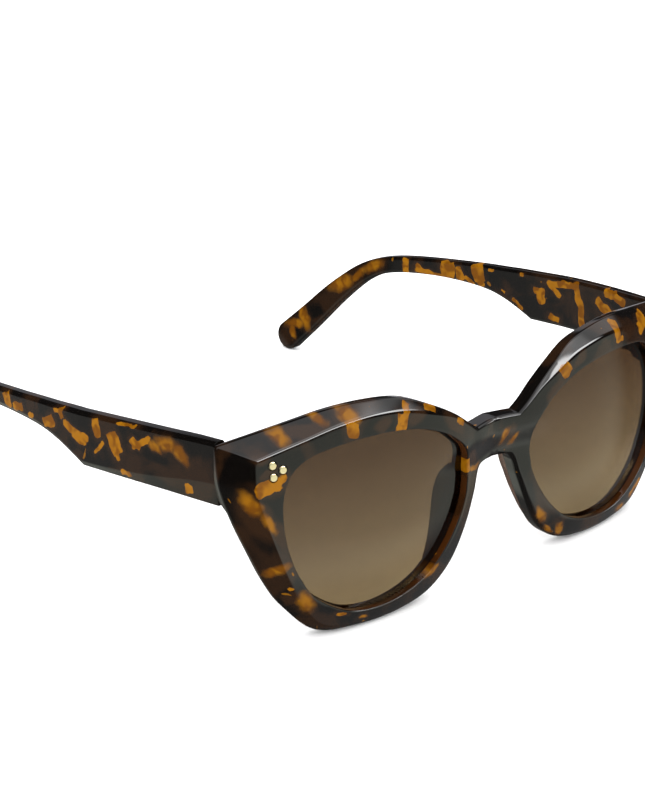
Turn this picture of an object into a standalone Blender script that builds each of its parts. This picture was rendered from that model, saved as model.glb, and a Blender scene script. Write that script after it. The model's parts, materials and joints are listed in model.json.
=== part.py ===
"""Cat eye sunglasses: acetate front, two gradient lenses, and two temples on five-barrel hinges.

The pieces are drawn in the front's own frame, in millimetres: x towards the wearer's left, y
backwards along the temples, z up, with x = 0 in the middle of the bridge and z = 0 at the middle
of the lenses. An empty then leans the glasses back until rims and temple tips stand on z = 0.
"""
import math

import bmesh
import bpy
from mathutils import Matrix, Vector

MM = 0.001
GAP = 0.3
ON_MIDDLE_PLANE = 1e-6

# The size printed on such glasses: eye size 51, bridge 19, temple 145.
EYE_SIZE = 51.0
BRIDGE = 19.0
LENS_CENTRE = (EYE_SIZE + BRIDGE) / 2

# Front: a curved sheet. Depth y grows away from the lens centres and outwards from the bridge, and
# the brow over the nose stands forward by BROW_LIFT, which fades out between the two x and z values.
FRONT_THICKNESS = 4.2
WRAP_CURVE = 0.0028
BASE_CURVE = 0.0105
HEIGHT_CURVE = 0.0019
WRAP_TWIST = 0.00025
FACE_TILT = 0.0185
WRAP_END = 52.0
BRIDGE_SOFTNESS = 6.0
BROW_LIFT = 1.6
BROW_LIFT_X = (30.0, 8.0)
BROW_LIFT_Z = (4.0, 12.0)
EDGE_ROUND = 0.45
RIM_STEPS = 3

# Lens groove in the rim's inner wall, as depths behind the front face.
GROOVE_FRONT = 1.7
GROOVE_APEX = 2.5
GROOVE_BACK = 3.3
GROOVE_DEPTH = 0.9
LENS_BEVEL = 0.5
LENS_OVERHANG = 0.1
LENS_RINGS = 4

# End piece: the block behind each outer corner, with the flat face that the temple butts against.
BUTT_Y = 17.0
LUG_INNER = 61.0
LUG_FULL = 63.0
LUG_LOW = 8.3
LUG_LOW_FULL = 10.3
LUG_HIGH_FULL = 20.8
LUG_HIGH = 22.5

# One row for each station round the wearer's left rim, from the bridge over the top, down the
# outer side and back along the bottom: aperture edge, facet ridge, outline, and how far the facet
# falls back at the outline.
RIM_STATIONS = [
    ((10.1, 4.8), (1.2, 8.2), (0.0, 8.2), 0.0),
    ((10.5, 7.6), (1.0, 12.9), (0.0, 13.5), 0.5),
    ((11.6, 10.0), (6.7, 12.6), (6.4, 13.1), 0.5),
    ((13.8, 12.3), (9.7, 14.7), (9.2, 15.1), 0.5),
    ((17.6, 14.9), (13.9, 17.4), (13.3, 18.1), 0.7),
    ((23.8, 17.4), (19.9, 19.7), (19.2, 21.3), 1.0),
    ((30.6, 18.8), (27.5, 22.1), (26.8, 24.4), 1.7),
    ((38.0, 19.3), (36.5, 23.3), (36.2, 25.7), 2.2),
    ((45.6, 19.0), (45.6, 22.8), (46.0, 25.7), 2.5),
    ((52.4, 17.7), (54.8, 21.0), (56.0, 24.4), 2.8),
    ((56.9, 14.9), (63.8, 19.0), (70.5, 21.7), 3.1),
    ((59.1, 10.4), (64.4, 12.6), (71.1, 14.0), 3.2),
    ((59.6, 5.0), (63.1, 5.9), (69.4, 6.6), 3.1),
    ((58.8, -1.0), (61.2, -1.0), (66.5, -1.0), 2.7),
    ((56.5, -7.2), (58.9, -7.6), (63.2, -8.1), 2.3),
    ((52.3, -13.3), (55.8, -13.9), (58.9, -14.6), 1.6),
    ((44.8, -18.1), (50.2, -20.3), (51.4, -21.5), 0.8),
    ((36.8, -19.5), (41.0, -22.1), (41.3, -23.0), 0.7),
    ((28.6, -18.5), (30.8, -22.1), (30.8, -23.0), 0.7),
    ((22.2, -15.9), (21.6, -20.6), (21.2, -21.4), 0.7),
    ((16.8, -11.3), (15.0, -16.1), (14.3, -16.7), 0.7),
    ((12.9, -6.0), (10.7, -9.2), (9.9, -9.6), 0.7),
    ((10.8, -1.6), (7.6, -1.9), (6.8, -2.3), 0.7),
    ((10.2, 1.4), (5.4, 3.7), (4.7, 3.1), 0.7),
    ((10.0, 3.2), (1.0, 5.1), (0.0, 4.3), 0.6),
]
BRIDGE_TOP = 1
BRIDGE_NOTCH = 2
CAT_EYE_CORNER = 10
BRIDGE_UNDERSIDE = 24

# Temples: top edge, bottom edge (both y, z), outer face x and thickness at each station.
TEMPLE_STATIONS = [
    ((17.3, 22.9), (17.3, 8.8), 68.9, 3.0),
    ((24.0, 22.7), (24.0, 8.9), 70.0, 3.4),
    ((32.0, 22.4), (32.0, 9.0), 71.2, 3.4),
    ((44.0, 21.8), (44.0, 8.8), 72.5, 3.4),
    ((57.3, 20.8), (57.3, 8.2), 73.1, 3.3),
    ((62.0, 20.5), (61.5, 10.0), 73.1, 3.3),
    ((67.0, 20.1), (66.5, 11.8), 73.0, 3.2),
    ((73.0, 19.7), (72.5, 13.1), 72.8, 3.1),
    ((81.0, 19.0), (80.5, 13.6), 72.4, 3.1),
    ((90.0, 18.2), (89.5, 13.5), 71.7, 3.1),
    ((98.5, 17.3), (97.5, 12.9), 70.8, 3.1),
    ((105.0, 16.3), (103.3, 12.1), 70.0, 3.1),
    ((110.6, 14.8), (107.7, 11.0), 69.1, 3.1),
    ((115.6, 12.6), (111.8, 9.0), 68.3, 3.2),
    ((120.3, 9.6), (115.8, 6.0), 67.4, 3.3),
    ((127.2, 4.3), (122.2, 0.1), 66.1, 3.4),
    ((135.0, -2.7), (129.3, -7.3), 64.4, 3.5),
    ((142.3, -9.0), (135.8, -13.8), 62.7, 3.5),
]
TEMPLE_STEP = 4
TEMPLE_STEPS = 3
CHAMFER = 0.8
SOFT_EDGE = 0.5
LOWER_BEVEL_FRONT = 5.0
LOWER_BEVEL_BACK = 1.2
LOWER_BEVEL_DEPTH = 0.7

# Rounded temple tip: swept angle, how much thinner and how far inwards it ends.
TIP_ROUND_STEPS = 5
TIP_SWEEP = math.radians(80)
TIP_THINNING = 0.3
TIP_DRIFT = 0.25
TIP_EDGE = 0.1

# Hinge: axis, knuckle stack and plates.
HINGE_X = 63.2
HINGE_Y = 19.7
HINGE_Z = 14.6
KNUCKLE_RADIUS = 1.3
KNUCKLE_HEIGHT = 1.3
KNUCKLE_PITCH = KNUCKLE_HEIGHT + GAP
KNUCKLES = 5
LEAF_HALF_WIDTH = 1.0
STACK_HEIGHT = KNUCKLES * KNUCKLE_PITCH - GAP
BORE_RADIUS = 0.75
SCREW_RADIUS = 0.65
SCREW_HEAD_RADIUS = 1.2
SCREW_HEAD_HEIGHT = 0.6
SCREW_HEAD_CHAMFER = 0.2
SLOT_WIDTH = 0.4
SLOT_DEPTH = 0.3
PLATE_THICKNESS = 0.8
PLATE_HEIGHT = 8.0
FRONT_PLATE_INNER = 61.9
TEMPLE_PLATE_LENGTH = 5.0
TEMPLE_INNER_FACE = [outer - thickness for _, _, outer, thickness in TEMPLE_STATIONS[:2]]
TEMPLE_HEAD_YAW = math.atan2(TEMPLE_INNER_FACE[1] - TEMPLE_INNER_FACE[0],
                             TEMPLE_STATIONS[1][0][0] - TEMPLE_STATIONS[0][0][0])

# Core wire inside each temple, in a channel that opens at the butt face.
CORE_RADIUS = 0.6
CHANNEL_RADIUS = 0.95
CORE_START = 19.0
CORE_END = 102.0
CORE_SPACING = 5.0
CORE_Z = 15.9
CORE_SLOPE = -0.01

# Three gold dots by each outer corner.
RIVETS = [(60.5, 17.7), (58.5, 16.5), (60.7, 15.3)]
RIVET_RADIUS = 0.85
RIVET_PROUD = 0.1
RIVET_LENGTH = 1.2
POCKET_RADIUS = 1.1
POCKET_DEPTH = 1.5

# Nose pads, along the nasal stations of the rim.
PAD_FIRST = 23.4
PAD_LAST = 19.3
PAD_HEIGHT = 6.4
PAD_HALF_WIDTH = 1.7
PAD_FLARE = 0.4
PAD_INSET = 1.9
PAD_SKEW = 0.85
PAD_TAPER = 0.45
PAD_END_SWELL = 0.03
PAD_FULLNESS = 0.6
PAD_ROWS = 16
PAD_COLUMNS = 9

# Contact points of the standing glasses, in the front's frame: (y, z).
RIM_FOOT = (8.5, -23.15)
TIP_FOOT = (139.0, -15.5)
LEAN = -math.atan2(TIP_FOOT[1] - RIM_FOOT[1], TIP_FOOT[0] - RIM_FOOT[0])


def clear_scene():
    for old in list(bpy.data.objects):
        bpy.data.objects.remove(old, do_unlink=True)


def make_collection(name):
    collection = bpy.data.collections.new(name)
    bpy.context.scene.collection.children.link(collection)
    return collection


def make_material(name, colour, roughness, metallic=0.0, alpha=1.0):
    material = bpy.data.materials.new(name)
    material.use_nodes = True
    shader = material.node_tree.nodes["Principled BSDF"]
    shader.inputs["Base Color"].default_value = (*colour, 1.0)
    shader.inputs["Roughness"].default_value = roughness
    shader.inputs["Metallic"].default_value = metallic
    shader.inputs["Alpha"].default_value = alpha
    return material


def smooth_step(low, high, value):
    t = min(max((value - low) / (high - low), 0.0), 1.0)
    return t * t * (3 - 2 * t)


def spline(rows, s, closed=False, corners=()):
    """Catmull-Rom through rows of numbers, at station s, with no rounding at the corners."""
    count = len(rows)
    k = math.floor(s)
    t = s - k

    def row(i):
        return Vector(rows[i % count] if closed else rows[min(max(i, 0), count - 1)])

    before, start, end, after = row(k - 1), row(k), row(k + 1), row(k + 2)
    if k % count in corners:
        before = 2 * start - end
    if (k + 1) % count in corners:
        after = 2 * end - start
    bend_in = (end - before) / 2
    bend_out = (after - start) / 2
    h1 = 2 * t ** 3 - 3 * t ** 2 + 1
    h2 = t ** 3 - 2 * t ** 2 + t
    h3 = 3 * t ** 2 - 2 * t ** 3
    h4 = t ** 3 - t ** 2
    return h1 * start + h2 * bend_in + h3 * end + h4 * bend_out


def rim_at(s):
    """Aperture edge, facet ridge, outline and facet fall at station s round the rim."""
    corners = (BRIDGE_TOP, BRIDGE_NOTCH, CAT_EYE_CORNER, BRIDGE_UNDERSIDE)
    aperture = spline([row[0] for row in RIM_STATIONS], s, closed=True)
    ridge = spline([row[1] for row in RIM_STATIONS], s, True, corners)
    outline = spline([(*row[2], row[3]) for row in RIM_STATIONS], s, True, corners)
    if outline.x < ON_MIDDLE_PLANE:
        outline.z = bridge_fall(outline.y)
    return aperture, ridge, outline.xy, outline.z


def bridge_fall(z):
    """In the middle of the bridge, the facets start only past the ridge lines."""
    top = RIM_STATIONS[BRIDGE_TOP]
    under = RIM_STATIONS[BRIDGE_UNDERSIDE]
    above = (z - top[1][1]) / (top[2][1] - top[1][1])
    below = (under[1][1] - z) / (under[1][1] - under[2][1])
    return top[3] * max(above, below, 0.0)


def face_depth(x, z):
    """Depth of the curved front face behind the plane y = 0."""
    reach = math.sqrt(x * x + BRIDGE_SOFTNESS ** 2)
    inner = min(reach, WRAP_END)
    side = inner - LENS_CENTRE
    depth = WRAP_CURVE * inner ** 2 / 2 + BASE_CURVE * (side ** 2 + z * z) / 2
    depth += HEIGHT_CURVE * z * z / 2 + WRAP_TWIST * side * z - FACE_TILT * inner
    depth -= BROW_LIFT * smooth_step(*BROW_LIFT_X, abs(x)) * smooth_step(*BROW_LIFT_Z, z)
    end_slope = WRAP_CURVE * WRAP_END + BASE_CURVE * (WRAP_END - LENS_CENTRE) - FACE_TILT
    return depth + end_slope * (reach - inner)


def face_yaw(x, z):
    step = 0.05
    return math.atan((face_depth(x + step, z) - face_depth(x - step, z)) / (2 * step))


def shell_point(place, depth):
    """The point that lies at a depth behind the front face, square to it in plan."""
    x, z = place
    yaw = face_yaw(x, z)
    return Vector((x - depth * math.sin(yaw), face_depth(x, z) + depth * math.cos(yaw), z))


def back_depth(place):
    """Thickness of the front: even, but filled out to the flat butt face at the end piece."""
    x, z = place
    share = smooth_step(LUG_INNER, LUG_FULL, x) * smooth_step(LUG_LOW, LUG_LOW_FULL, z)
    share *= 1 - smooth_step(LUG_HIGH_FULL, LUG_HIGH, z)
    to_butt = (BUTT_Y - face_depth(x, z)) / math.cos(face_yaw(x, z))
    return FRONT_THICKNESS + share * (max(to_butt, FRONT_THICKNESS) - FRONT_THICKNESS)


def towards(start, end, distance):
    return start + (end - start).normalized() * distance


def make_object(name, mesh, material, collection, parent=None):
    """An object whose mesh, in millimetres, is moved to metres about its parent's origin."""
    origin = parent.location / MM if parent and parent.parent else Vector((0, 0, 0))
    mesh.transform(Matrix.Scale(MM, 4) @ Matrix.Translation(-origin))
    for polygon in mesh.polygons:
        polygon.use_smooth = True
    mesh.set_sharp_from_angle(angle=math.radians(30))
    if material:
        mesh.materials.append(material)
    piece = bpy.data.objects.new(name, mesh)
    piece.parent = parent
    collection.objects.link(piece)
    return piece


def mesh_from(bm, name, side=1):
    """The bmesh as a mesh; side -1 mirrors it to the wearer's right."""
    if side < 0:
        bmesh.ops.scale(bm, vec=(-1, 1, 1), verts=bm.verts)
        bmesh.ops.reverse_faces(bm, faces=bm.faces)
    mesh = bpy.data.meshes.new(name)
    bm.to_mesh(mesh)
    bm.free()
    return mesh


def skin(bm, rows, closed_rows=False, closed_columns=True, skip=lambda i, j: False):
    """Quads between rows of points; each row is one section."""
    verts = [[bm.verts.new(point) for point in row] for row in rows]
    row_count = len(rows)
    column_count = len(rows[0])
    for i in range(row_count if closed_rows else row_count - 1):
        for j in range(column_count if closed_columns else column_count - 1):
            if not skip(i, j):
                this_row = verts[i]
                next_row = verts[(i + 1) % row_count]
                k = (j + 1) % column_count
                bm.faces.new((this_row[j], next_row[j], next_row[k], this_row[k]))
    return verts


def front_section(s):
    """The rim's cross-section at station s: front face, outer wall, back face, inner wall."""
    aperture, ridge, outline, fall = rim_at(s)
    rim_middle = aperture.lerp(outline, 0.5)
    back_edge = towards(outline, aperture, EDGE_ROUND)
    if outline.x < ON_MIDDLE_PLANE:
        back_edge.x = 0.0
    groove = towards(aperture, ridge, GROOVE_DEPTH)
    inner_back = towards(aperture, ridge, EDGE_ROUND)
    return [
        shell_point(aperture, EDGE_ROUND),
        shell_point(towards(aperture, ridge, EDGE_ROUND), 0),
        shell_point(aperture.lerp(ridge, 0.5), 0),
        shell_point(ridge, 0),
        shell_point(outline, fall),
        shell_point(outline, back_depth(outline) - EDGE_ROUND),
        shell_point(outline, back_depth(outline)) + shell_point(back_edge, 0) - shell_point(outline, 0),
        shell_point(aperture.lerp(outline, 0.75), back_depth(aperture.lerp(outline, 0.75))),
        shell_point(rim_middle, back_depth(rim_middle)),
        shell_point(aperture.lerp(outline, 0.25), back_depth(aperture.lerp(outline, 0.25))),
        shell_point(inner_back, back_depth(inner_back)),
        shell_point(aperture, back_depth(aperture) - EDGE_ROUND),
        shell_point(aperture, GROOVE_BACK),
        shell_point(groove, GROOVE_APEX),
        shell_point(aperture, GROOVE_FRONT),
    ]


def build_front(collection, cutters, root, material):
    """The half on the wearer's left, open at the bridge plane, and its mirror image."""
    count = len(RIM_STATIONS) * RIM_STEPS
    stations = [i / RIM_STEPS for i in range(count)]
    on_plane = [rim_at(s)[2].x < ON_MIDDLE_PLANE for s in stations]
    outline_face, wall_end = 4, 6

    def open_at_bridge(i, j):
        return on_plane[i] and on_plane[(i + 1) % count] and outline_face <= j < wall_end

    bm = bmesh.new()
    skin(bm, [front_section(s) for s in stations], closed_rows=True, skip=open_at_bridge)
    loose = [vert for vert in bm.verts if not vert.link_faces]
    bmesh.ops.delete(bm, geom=loose, context="VERTS")
    front = make_object("front_frame", mesh_from(bm, "front_frame"), material, collection, root)
    mirror = front.modifiers.new("other_half", "MIRROR")
    mirror.merge_threshold = 0.00001
    for side in (1, -1):
        for place in RIVETS:
            pocket = build_rivet_solid(place, POCKET_RADIUS, -RIVET_LENGTH, POCKET_DEPTH, side)
            combine(front, make_tool("pocket", pocket, cutters, root), "DIFFERENCE")
    return front


def make_tool(name, mesh, cutters, parent):
    """A solid that only shapes another piece."""
    tool = make_object(name, mesh, None, cutters, parent)
    tool.hide_render = True
    tool.display_type = "WIRE"
    return tool


def combine(piece, tool, operation):
    boolean = piece.modifiers.new(tool.name, "BOOLEAN")
    boolean.operation = operation
    boolean.solver = "EXACT"
    boolean.object = tool


def build_rivet_solid(place, radius, front, back, side):
    """A short cylinder square to the front face, from depth front to depth back."""
    centre = shell_point(place, 0)
    across = shell_point((place[0] + 1, place[1]), 0) - shell_point((place[0] - 1, place[1]), 0)
    up = shell_point((place[0], place[1] + 1), 0) - shell_point((place[0], place[1] - 1), 0)
    inward = up.cross(across).normalized()
    turn = inward.to_track_quat("Z", "Y").to_matrix().to_4x4()
    bm = bmesh.new()
    bmesh.ops.create_cone(bm, cap_ends=True, segments=20, radius1=radius, radius2=radius,
                          depth=back - front)
    middle = centre + inward * (front + back) / 2
    bmesh.ops.transform(bm, matrix=Matrix.Translation(middle) @ turn, verts=bm.verts)
    return mesh_from(bm, "rivet", side)


def build_lens(name, side, collection, root, material):
    """A curved disc that follows the front face, with a V bevel that sits in the groove."""
    count = len(RIM_STATIONS) * RIM_STEPS
    apertures = [rim_at(i / RIM_STEPS)[0] for i in range(count)]
    centre = Vector((LENS_CENTRE, 0.0))
    front_depth = GROOVE_FRONT - LENS_OVERHANG
    rear_depth = GROOVE_BACK + LENS_OVERHANG
    shares = [ring / LENS_RINGS for ring in range(1, LENS_RINGS + 1)]

    def ring(share, depth, grow):
        return [shell_point(centre + towards(edge, centre, -grow) * share - centre * share, depth)
                for edge in apertures]

    rings = [ring(share, front_depth, -GAP) for share in shares]
    rings.append(ring(1.0, GROOVE_APEX, LENS_BEVEL))
    rings.extend(ring(share, rear_depth, -GAP) for share in reversed(shares))
    bm = bmesh.new()
    verts = skin(bm, rings)
    for edge_ring, depth in ((verts[0], front_depth), (verts[-1][::-1], rear_depth)):
        middle = bm.verts.new(shell_point(centre, depth))
        for i in range(count):
            bm.faces.new((middle, edge_ring[(i + 1) % count], edge_ring[i]))
    bmesh.ops.recalc_face_normals(bm, faces=bm.faces)
    return make_object(name, mesh_from(bm, name, side), material, collection, root)


def build_nose_pad(name, side, collection, root, material):
    """A low rounded ridge along the nasal back of the rim, leaning outwards from the nose."""
    rows = []
    for i in range(PAD_ROWS):
        t = i / (PAD_ROWS - 1)
        along = PAD_END_SWELL + (1 - 2 * PAD_END_SWELL) * t ** PAD_SKEW
        swell = math.sin(math.pi * along) ** PAD_FULLNESS
        crest = PAD_HEIGHT * (1 - PAD_TAPER * t)
        aperture, _, outline, _ = rim_at(PAD_FIRST + (PAD_LAST - PAD_FIRST) * t)
        centre = towards(outline, aperture, PAD_INSET)
        half_width = PAD_HALF_WIDTH * swell ** 0.5
        row = []
        for j in range(PAD_COLUMNS):
            angle = math.pi * j / (PAD_COLUMNS - 1)
            height = math.sin(angle) * swell
            across = math.cos(angle) * half_width + PAD_FLARE * height
            base = back_depth(centre) + GAP
            row.append(shell_point(towards(centre, aperture, across), base + crest * height))
        rows.append(row)
    bm = bmesh.new()
    verts = skin(bm, rows)
    bm.faces.new(verts[0])
    bm.faces.new(verts[-1][::-1])
    bmesh.ops.recalc_face_normals(bm, faces=bm.faces)
    return make_object(name, mesh_from(bm, name, side), material, collection, root)


def temple_section(top, bottom, outer, thickness, lower_bevel, lower_depth, edge=CHAMFER):
    """Cross-section of a temple, from the upper outer chamfer over the top and round."""
    up = (top - bottom).normalized()
    inner = outer - thickness

    def point(x, from_top=None, from_bottom=None):
        place = top - up * from_top if from_bottom is None else bottom + up * from_bottom
        return Vector((x, place.x, place.y))

    soft = min(SOFT_EDGE, edge)
    return [
        point(outer, from_top=edge),
        point(outer - edge, from_top=0),
        point(inner + soft, from_top=0),
        point(inner, from_top=soft),
        point(inner, from_bottom=soft),
        point(inner + soft, from_bottom=0),
        point(outer - lower_depth, from_bottom=0),
        point(outer, from_bottom=lower_bevel),
    ]


def temple_row(s):
    rows = [(*top, *bottom, outer, thick) for top, bottom, outer, thick in TEMPLE_STATIONS]
    return spline(rows, s, corners=(TEMPLE_STEP,))


def temple_sections():
    """Sections from the butt face to the last station, then round the tip."""
    sections = []
    for i in range((len(TEMPLE_STATIONS) - 1) * TEMPLE_STEPS + 1):
        s = i / TEMPLE_STEPS
        row = temple_row(s)
        bevel = LOWER_BEVEL_FRONT
        bevel += (LOWER_BEVEL_BACK - LOWER_BEVEL_FRONT) * smooth_step(0, TEMPLE_STEP, s)
        sections.append(temple_section(Vector(row[0:2]), Vector(row[2:4]), row[4], row[5], bevel,
                                       LOWER_BEVEL_DEPTH))
    top = Vector(TEMPLE_STATIONS[-1][0])
    bottom = Vector(TEMPLE_STATIONS[-1][1])
    outer, thickness = TEMPLE_STATIONS[-1][2:]
    across = (top - bottom) / 2
    centre = (top + bottom) / 2
    along = Vector((across.y, -across.x))
    for i in range(1, TIP_ROUND_STEPS + 1):
        angle = TIP_SWEEP * i / TIP_ROUND_STEPS
        middle = centre + along * math.sin(angle)
        half = across * math.cos(angle)
        inset = thickness * TIP_THINNING * (1 - math.cos(angle))
        drift = TIP_DRIFT * across.length * math.sin(angle)
        edge = CHAMFER * math.cos(angle) + TIP_EDGE
        sections.append(temple_section(middle + half, middle - half, outer - drift - inset,
                                       thickness - 2 * inset, edge, LOWER_BEVEL_DEPTH, edge))
    return sections


def core_point(y):
    """Middle of the temple's thickness at distance y, on the wire's line."""
    places = [temple_row(i / 4) for i in range((len(TEMPLE_STATIONS) - 1) * 4 + 1)]
    nearest = min(places, key=lambda row: abs((row[0] + row[2]) / 2 - y))
    return Vector((nearest[4] - nearest[5] / 2, y, CORE_Z + CORE_SLOPE * (y - CORE_START)))


def build_wire(name, start, radius, side):
    """A round wire along the temple, made a mesh with welded caps."""
    steps = round((CORE_END - CORE_START) / CORE_SPACING)
    points = [core_point(CORE_START + (CORE_END - CORE_START) * i / steps) for i in range(steps + 1)]
    first, second = points[:2]
    points[0] = second + (first - second) * (second.y - start) / (second.y - first.y)
    points[-1].y += radius - CORE_RADIUS
    curve = bpy.data.curves.new(name, "CURVE")
    curve.dimensions = "3D"
    curve.bevel_depth = radius
    curve.bevel_resolution = 2
    curve.use_fill_caps = True
    line = curve.splines.new("POLY")
    line.points.add(len(points) - 1)
    for target, point in zip(line.points, points):
        target.co = (side * point.x, point.y, point.z, 1)
    holder = bpy.data.objects.new(name, curve)
    bpy.context.scene.collection.objects.link(holder)
    bpy.context.view_layer.update()
    mesh = bpy.data.meshes.new_from_object(holder.evaluated_get(bpy.context.evaluated_depsgraph_get()))
    bpy.data.objects.remove(holder)
    bpy.data.curves.remove(curve)
    bm = bmesh.new()
    bm.from_mesh(mesh)
    bmesh.ops.remove_doubles(bm, verts=bm.verts, dist=0.01)
    bmesh.ops.recalc_face_normals(bm, faces=bm.faces)
    bm.to_mesh(mesh)
    bm.free()
    return mesh


def build_temple(name, side, collection, cutters, pivot, material):
    bm = bmesh.new()
    verts = skin(bm, temple_sections())
    bm.faces.new(verts[0])
    bm.faces.new(verts[-1][::-1])
    bmesh.ops.recalc_face_normals(bm, faces=bm.faces)
    temple = make_object(name, mesh_from(bm, name, side), material, collection, pivot)
    channel = build_wire(name + "_channel", BUTT_Y - 1, CHANNEL_RADIUS, side)
    combine(temple, make_tool(name + "_channel", channel, cutters, pivot), "DIFFERENCE")
    return temple


def add_box(bm, low, high, turn=None):
    """A box between two corners, then turned about the z axis through the hinge if asked."""
    size = Vector(high) - Vector(low)
    middle = (Vector(high) + Vector(low)) / 2
    made = bmesh.ops.create_cube(bm, size=1.0)
    place = Matrix.Translation(middle) @ Matrix.Diagonal((*size, 1))
    bmesh.ops.transform(bm, matrix=place, verts=made["verts"])
    if turn:
        bmesh.ops.transform(bm, matrix=turn, verts=made["verts"])


def add_cylinder(bm, x, y, low, high, radius, segments=32):
    made = bmesh.ops.create_cone(bm, cap_ends=True, segments=segments, radius1=radius,
                                 radius2=radius, depth=high - low)
    bmesh.ops.translate(bm, vec=(x, y, (low + high) / 2), verts=made["verts"])


def knuckle_span(index):
    low = HINGE_Z - STACK_HEIGHT / 2 + index * KNUCKLE_PITCH
    return low, low + KNUCKLE_HEIGHT


def build_hinge(name, side, knuckles, plate, leaf, collection, cutters, parent, material):
    """A plate with knuckles on the axis: the solids are joined, then bored for the screw."""
    bm = bmesh.new()
    add_box(bm, *plate)
    hinge = make_object(name, mesh_from(bm, name, side), material, collection, parent)
    for index in knuckles:
        low, high = knuckle_span(index)
        for shape in ("leaf", "barrel"):
            bm = bmesh.new()
            if shape == "leaf":
                add_box(bm, (*leaf[0], low), (*leaf[1], high))
            else:
                add_cylinder(bm, HINGE_X, HINGE_Y, low, high, KNUCKLE_RADIUS)
            tool_name = f"{name}_{shape}_{index}"
            tool = make_tool(tool_name, mesh_from(bm, tool_name, side), cutters, parent)
            combine(hinge, tool, "UNION")
    bm = bmesh.new()
    add_cylinder(bm, HINGE_X, HINGE_Y, HINGE_Z - STACK_HEIGHT, HINGE_Z + STACK_HEIGHT, BORE_RADIUS)
    bore = make_tool(name + "_bore", mesh_from(bm, name, side), cutters, parent)
    combine(hinge, bore, "DIFFERENCE")
    return hinge


def build_screw(name, side, collection, cutters, parent, material):
    """Shank through the knuckles, with a slotted head above the top one."""
    seat = HINGE_Z + STACK_HEIGHT / 2 + GAP
    top = seat + SCREW_HEAD_HEIGHT
    profile = [
        (0.0, HINGE_Z - STACK_HEIGHT / 2),
        (SCREW_RADIUS, HINGE_Z - STACK_HEIGHT / 2),
        (SCREW_RADIUS, seat),
        (SCREW_HEAD_RADIUS, seat),
        (SCREW_HEAD_RADIUS, top - SCREW_HEAD_CHAMFER),
        (SCREW_HEAD_RADIUS - SCREW_HEAD_CHAMFER, top),
        (0.0, top),
    ]
    bm = bmesh.new()
    outline = [bm.verts.new((radius, 0, z)) for radius, z in profile]
    edges = [bm.edges.new(pair) for pair in zip(outline, outline[1:])]
    bmesh.ops.spin(bm, geom=outline + edges, cent=(0, 0, 0), axis=(0, 0, 1),
                   angle=2 * math.pi, steps=32, use_merge=True)
    bmesh.ops.remove_doubles(bm, verts=bm.verts, dist=0.001)
    bmesh.ops.recalc_face_normals(bm, faces=bm.faces)
    bmesh.ops.translate(bm, vec=(HINGE_X, HINGE_Y, 0), verts=bm.verts)
    screw = make_object(name, mesh_from(bm, name, side), material, collection, parent)
    bm = bmesh.new()
    half_length = SCREW_HEAD_RADIUS + GAP
    add_box(bm, (HINGE_X - half_length, HINGE_Y - SLOT_WIDTH / 2, top - SLOT_DEPTH),
            (HINGE_X + half_length, HINGE_Y + SLOT_WIDTH / 2, top + GAP))
    slot = make_tool(name + "_slot", mesh_from(bm, name, side), cutters, parent)
    combine(screw, slot, "DIFFERENCE")
    return screw


def make_empty(name, collection, parent=None, location=(0, 0, 0)):
    empty = bpy.data.objects.new(name, None)
    empty.parent = parent
    empty.location = Vector(location) * MM
    collection.objects.link(empty)
    return empty


def stand_on_ground(root, collection):
    """Lean the glasses back, and put the middle of their box's floor at the world's origin."""
    root.rotation_euler.x = LEAN
    bpy.context.view_layer.update()
    depsgraph = bpy.context.evaluated_depsgraph_get()
    points = []
    for piece in collection.objects:
        if piece.type == "MESH":
            mesh = piece.evaluated_get(depsgraph).data
            points.extend(piece.matrix_world @ vert.co for vert in mesh.vertices)
    y_middle = (min(p.y for p in points) + max(p.y for p in points)) / 2
    root.location = (0, -y_middle, -min(p.z for p in points))
    bpy.context.view_layer.update()


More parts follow.
